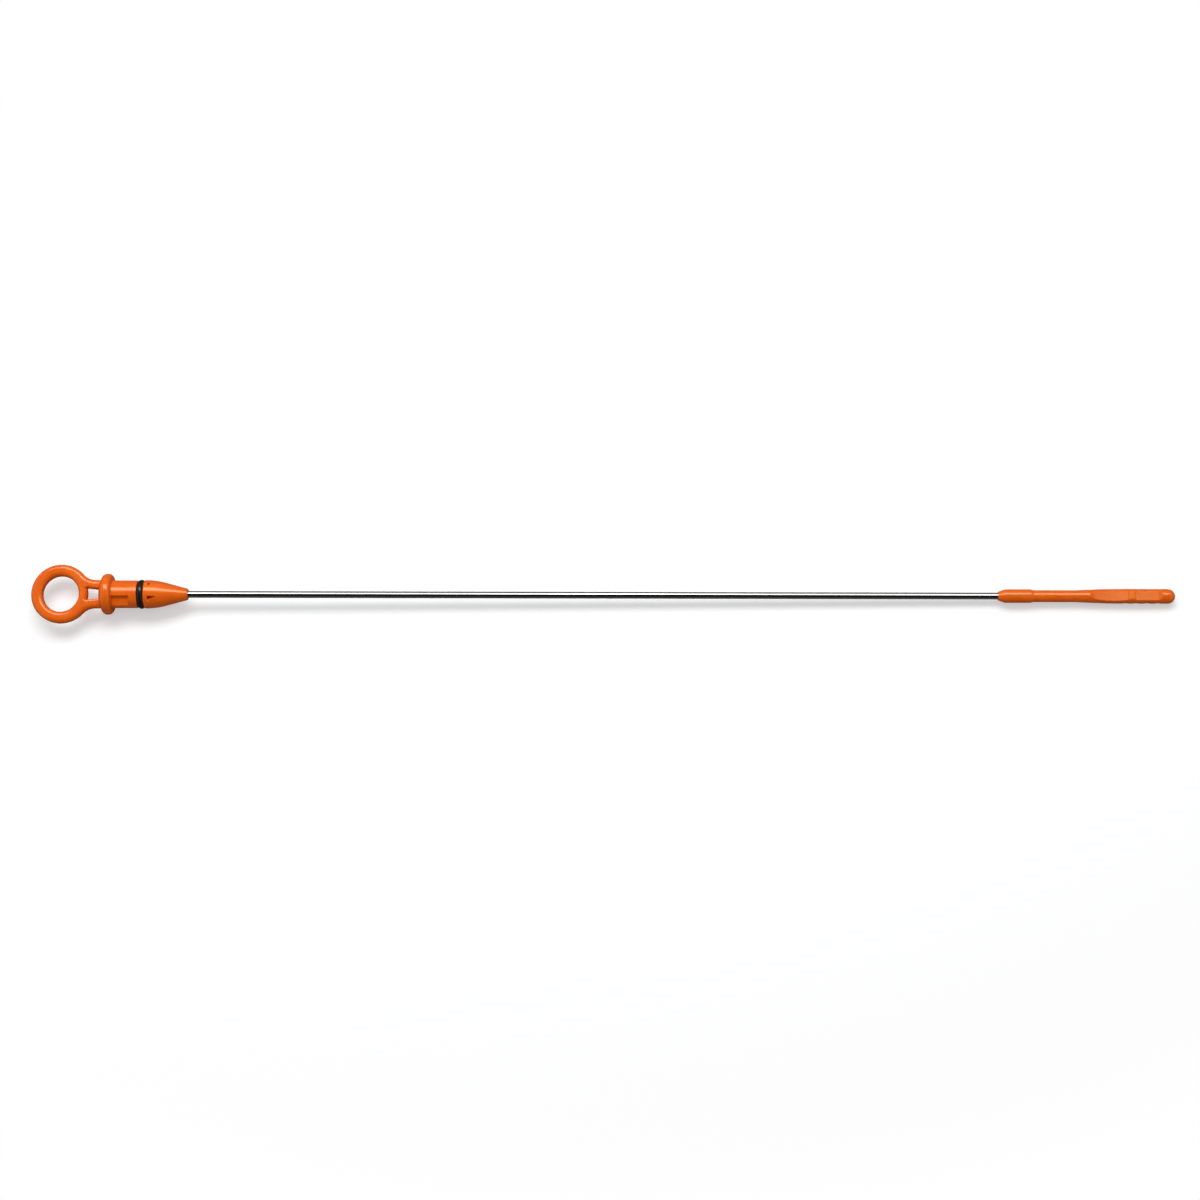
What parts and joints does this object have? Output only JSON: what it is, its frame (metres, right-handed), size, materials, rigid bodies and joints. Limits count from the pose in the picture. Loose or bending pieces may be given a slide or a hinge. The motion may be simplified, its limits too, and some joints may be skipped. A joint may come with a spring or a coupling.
{
  "type": "engine oil dipstick",
  "caption": "Engine oil dipstick with a finger-ring pull handle, a sealed tube plug, a long round steel rod and a moulded tip with level marks.",
  "frame": {"origin": "on the rod's axis, at the face of the flange that seats on the end of the dipstick tube", "axes": "+X along the rod, from the handle to the tip; +Z square to the plane of the finger ring; +Y across the ring"},
  "size_m": [0.526, 0.0272, 0.0188],
  "materials": {
    "handle": "orange moulded nylon, satin gloss with a fine moulded grain",
    "o_ring": "black seal rubber with a light oily sheen",
    "rod": "bright drawn steel wire",
    "tip": "orange moulded nylon, satin gloss, with stippled flats"
  },
  "bodies": {
    "root": {"handle": "handle", "o_ring": "o_ring", "rod": "rod", "tip": "tip"}
  },
  "joints": []
}
